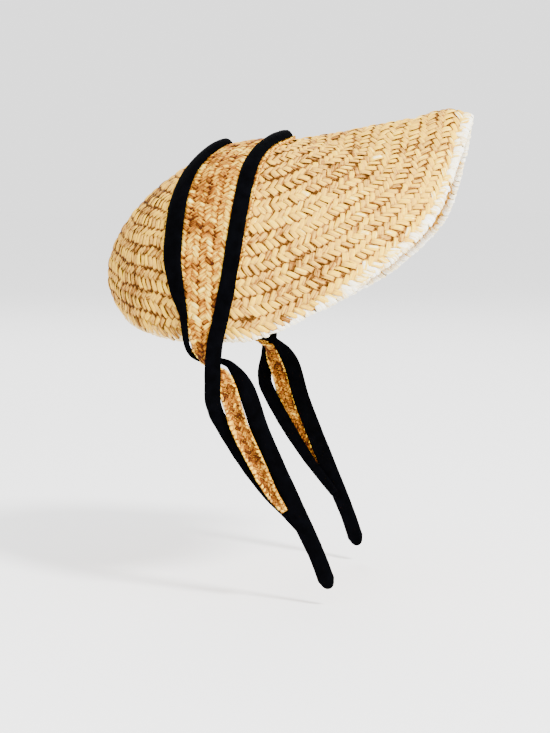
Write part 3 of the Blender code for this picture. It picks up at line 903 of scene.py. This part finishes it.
def straw_material(name, stops, fibre, mottle, roughness, bump):
    """Straw: each strand's tone from the weave, streaked with fibres, and darkened with painted shade where
    it dips under.
    Mottle is the scale and the strength of its patches."""
    material = bpy.data.materials.new(name)
    material.use_nodes = True
    nodes, links = material.node_tree.nodes, material.node_tree.links
    shader = shader_of(material)
    tone = nodes.new("ShaderNodeAttribute")
    tone.attribute_name = "tone"
    strand = nodes.new("ShaderNodeAttribute")
    strand.attribute_name = "strand"
    end = nodes.new("ShaderNodeAttribute")
    end.attribute_name = "end"

    def noise(vector, scale, detail):
        node = nodes.new("ShaderNodeTexNoise")
        node.inputs["Scale"].default_value = scale
        node.inputs["Detail"].default_value = detail
        links.new(vector, node.inputs["Vector"])
        return node.outputs["Fac"]

    def maths(operation, a, b, c=None):
        node = nodes.new("ShaderNodeMath")
        node.operation = operation
        for socket, value in zip(node.inputs, (a, b, c)):
            if value is None:
                continue
            if isinstance(value, (int, float)):
                socket.default_value = value
            else:
                links.new(value, socket)
        return node.outputs[0]

    stretch = nodes.new("ShaderNodeMapping")
    stretch.inputs["Scale"].default_value = (1.0, FIBRE_SCALE, 1.0)
    links.new(strand.outputs["Vector"], stretch.inputs["Vector"])
    streaks = noise(stretch.outputs["Vector"], STREAK_SCALE, 4)
    splits = noise(stretch.outputs["Vector"], SPLIT_SCALE, 3)
    blotch = noise(strand.outputs["Vector"], BLOTCH_SCALE, 3)
    geometry = nodes.new("ShaderNodeTexCoord")
    patches = noise(geometry.outputs["Object"], mottle[0], 2)

    level = maths("MULTIPLY_ADD", tone.outputs["Fac"], TONE_STEP, MIDDLE_LEVEL)
    level = maths("ADD", level, maths("MULTIPLY_ADD", streaks, fibre, -fibre / 2))
    level = maths("ADD", level, maths("MULTIPLY_ADD", splits, fibre * 2.4, -fibre * 1.2))
    level = maths("ADD", level, maths("MULTIPLY_ADD", blotch, 0.4, -0.2))
    level = maths("ADD", level, maths("MULTIPLY_ADD", patches, mottle[1], -mottle[1] / 2))
    # painted shade at the floats' ends and along the edges that go under others
    level = maths("SUBTRACT", level, maths("MULTIPLY", end.outputs["Fac"], PAINTED_SHADE_LEVEL))
    ramp = nodes.new("ShaderNodeValToRGB")
    elements = ramp.color_ramp.elements
    while len(elements) < len(stops):
        elements.new(0.5)
    for element, (position, colour) in zip(elements, stops):
        element.position = position * LEVEL_SHARE
        element.color = (*colour, 1)
    links.new(maths("MULTIPLY", level, LEVEL_SHARE), ramp.inputs["Fac"])
    links.new(ramp.outputs["Color"], shader.inputs["Base Color"])
    links.new(maths("MULTIPLY_ADD", streaks, 0.3, roughness - 0.15), shader.inputs["Roughness"])
    shader.inputs["Specular IOR Level"].default_value = 0.03
    relief = nodes.new("ShaderNodeBump")
    relief.inputs["Strength"].default_value = bump
    relief.inputs["Distance"].default_value = 0.4 * MM
    links.new(maths("ADD", streaks, splits), relief.inputs["Height"])
    links.new(relief.outputs["Normal"], shader.inputs["Normal"])
    return material


def velvet_material():
    material = bpy.data.materials.new("velvet_pile")
    material.use_nodes = True
    nodes, links = material.node_tree.nodes, material.node_tree.links
    shader = shader_of(material)
    place = nodes.new("ShaderNodeTexCoord")
    crush = nodes.new("ShaderNodeTexNoise")
    crush.inputs["Scale"].default_value = 150
    crush.inputs["Detail"].default_value = 4
    links.new(place.outputs["Object"], crush.inputs["Vector"])
    ramp = nodes.new("ShaderNodeValToRGB")
    ramp.color_ramp.elements[0].position = 0.35
    ramp.color_ramp.elements[0].color = (0.0005, 0.0005, 0.0007, 1)
    ramp.color_ramp.elements[1].position = 0.75
    ramp.color_ramp.elements[1].color = (0.0011, 0.0012, 0.0018, 1)
    links.new(crush.outputs["Fac"], ramp.inputs["Fac"])
    links.new(ramp.outputs["Color"], shader.inputs["Base Color"])
    shader.inputs["Roughness"].default_value = 0.95
    shader.inputs["Specular IOR Level"].default_value = 0.01
    shader.inputs["Sheen Weight"].default_value = 0.004
    shader.inputs["Sheen Roughness"].default_value = 0.35
    shader.inputs["Sheen Tint"].default_value = (0.45, 0.5, 0.75, 1)
    pile = nodes.new("ShaderNodeTexNoise")
    pile.inputs["Scale"].default_value = STREAK_SCALE
    pile.inputs["Detail"].default_value = 2
    links.new(place.outputs["Object"], pile.inputs["Vector"])
    relief = nodes.new("ShaderNodeBump")
    relief.inputs["Strength"].default_value = 0.7
    relief.inputs["Distance"].default_value = 0.2 * MM
    links.new(pile.outputs["Fac"], relief.inputs["Height"])
    links.new(relief.outputs["Normal"], shader.inputs["Normal"])
    return material


def make_hat():
    straw = straw_material("straw_weave", STRAW_STOPS, 0.55, (46, 0.5), roughness=0.6, bump=0.6)
    sash_straw = straw_material("sash_weave", SASH_STOPS, 0.6, (110, 0.6), roughness=0.62, bump=0.6)
    velvet = velvet_material()
    net = crown_net()
    make_crown_ground(net, straw)
    make_crown_weave(net, "crown_weave", straw, CROWN_FLOAT, 0.0, 1)
    make_crown_weave(net, "crown_weave_inside", straw, INNER_FLOAT, -STRAW_WALL, -1)
    make_rim(net, straw_material("rim_straw", RIM_STOPS, 0.6, (60, 0.5), roughness=0.65, bump=0.8))
    seat = Seat(net)
    strip = Strip(sash_sections(seat))
    make_sash_weave(strip, sash_straw)
    sash = make_sash_ground(strip, sash_straw)
    make_selvedge(strip, straw)
    front = strip_sections(seat, lambda row: (row.front_x, RIBBON_WIDTH / MM), RIBBON_RISE, FRONT_TIE)
    rear = strip_sections(seat, lambda row: (row.rear_x, row.rear_width), RIBBON_RISE, REAR_TIE)
    for name, node, sections, widening, tip in (
        ("velvet_front_ribbon", "velvet_front", front, FRONT_WIDENING, False),
        ("velvet_rear_ribbon", "velvet_rear", rear, REAR_WIDENING, True),
    ):
        ribbon, width, length, area = make_ribbon(name, node, sections, velvet, widening, tip)


def make_stage():
    mesh = bpy.data.meshes.new("floor")
    reach, height = 12.0, CAD_BOX[0][2] - FLOOR_DROP
    corners = [(x * reach, y * reach, height) for x, y in ((-1, -1), (1, -1), (1, 1), (-1, 1))]
    mesh.from_pydata(corners, [], [(0, 1, 2, 3)])
    material = bpy.data.materials.new("floor_paper")
    material.use_nodes = True
    shader = shader_of(material)
    shader.inputs["Base Color"].default_value = (0.98, 0.98, 0.98, 1)
    shader.inputs["Roughness"].default_value = 0.9
    mesh.materials.append(material)
    floor = bpy.data.objects.new("floor", mesh)
    bpy.context.scene.collection.objects.link(floor)


def make_light(name, place, aim, size, power):
    data = bpy.data.lights.new(name, "AREA")
    data.shape = "DISK"
    data.size = size
    data.energy = power
    light = bpy.data.objects.new(name, data)
    light.location = place
    light.rotation_euler = (Vector(aim) - Vector(place)).to_track_quat("-Z", "Y").to_euler()
    bpy.context.scene.collection.objects.link(light)


def make_lights():
    middle = (0.0, 0.0, -0.1)
    make_light("key", (1.3, -1.2, 1.7), middle, 0.45, 135)
    make_light("side", (2.2, -0.7, 0.1), middle, 0.8, 65)
    make_light("fill", (-1.4, -1.9, 0.5), middle, 1.6, 4)
    make_light("back", (-0.6, 1.9, 1.4), middle, 1.2, 30)
    world = bpy.data.worlds.new("studio")
    world.use_nodes = True
    background = world.node_tree.nodes["Background"]
    background.inputs["Color"].default_value = (1, 1, 1, 1)
    background.inputs["Strength"].default_value = 2.0
    bpy.context.scene.world = world


def make_camera():
    right = Vector((math.cos(AZIMUTH), math.sin(AZIMUTH), 0))
    back = Vector((math.sin(AZIMUTH), -math.cos(AZIMUTH), 0)) * math.cos(ELEVATION)
    back.z = math.sin(ELEVATION)
    up = back.cross(right)
    target = right * TARGET_RIGHT + up * TARGET_UP
    data = bpy.data.cameras.new("camera")
    data.sensor_fit = "VERTICAL"
    data.sensor_height = 24
    data.lens = data.sensor_height * DISTANCE / FRAME_HEIGHT
    camera = bpy.data.objects.new("camera", data)
    turn = Matrix((right, up, back)).transposed()
    camera.matrix_world = Matrix.Translation(target + back * DISTANCE) @ turn.to_4x4()
    bpy.context.scene.collection.objects.link(camera)
    bpy.context.scene.camera = camera


make_camera()
make_hat()
make_stage()
make_lights()
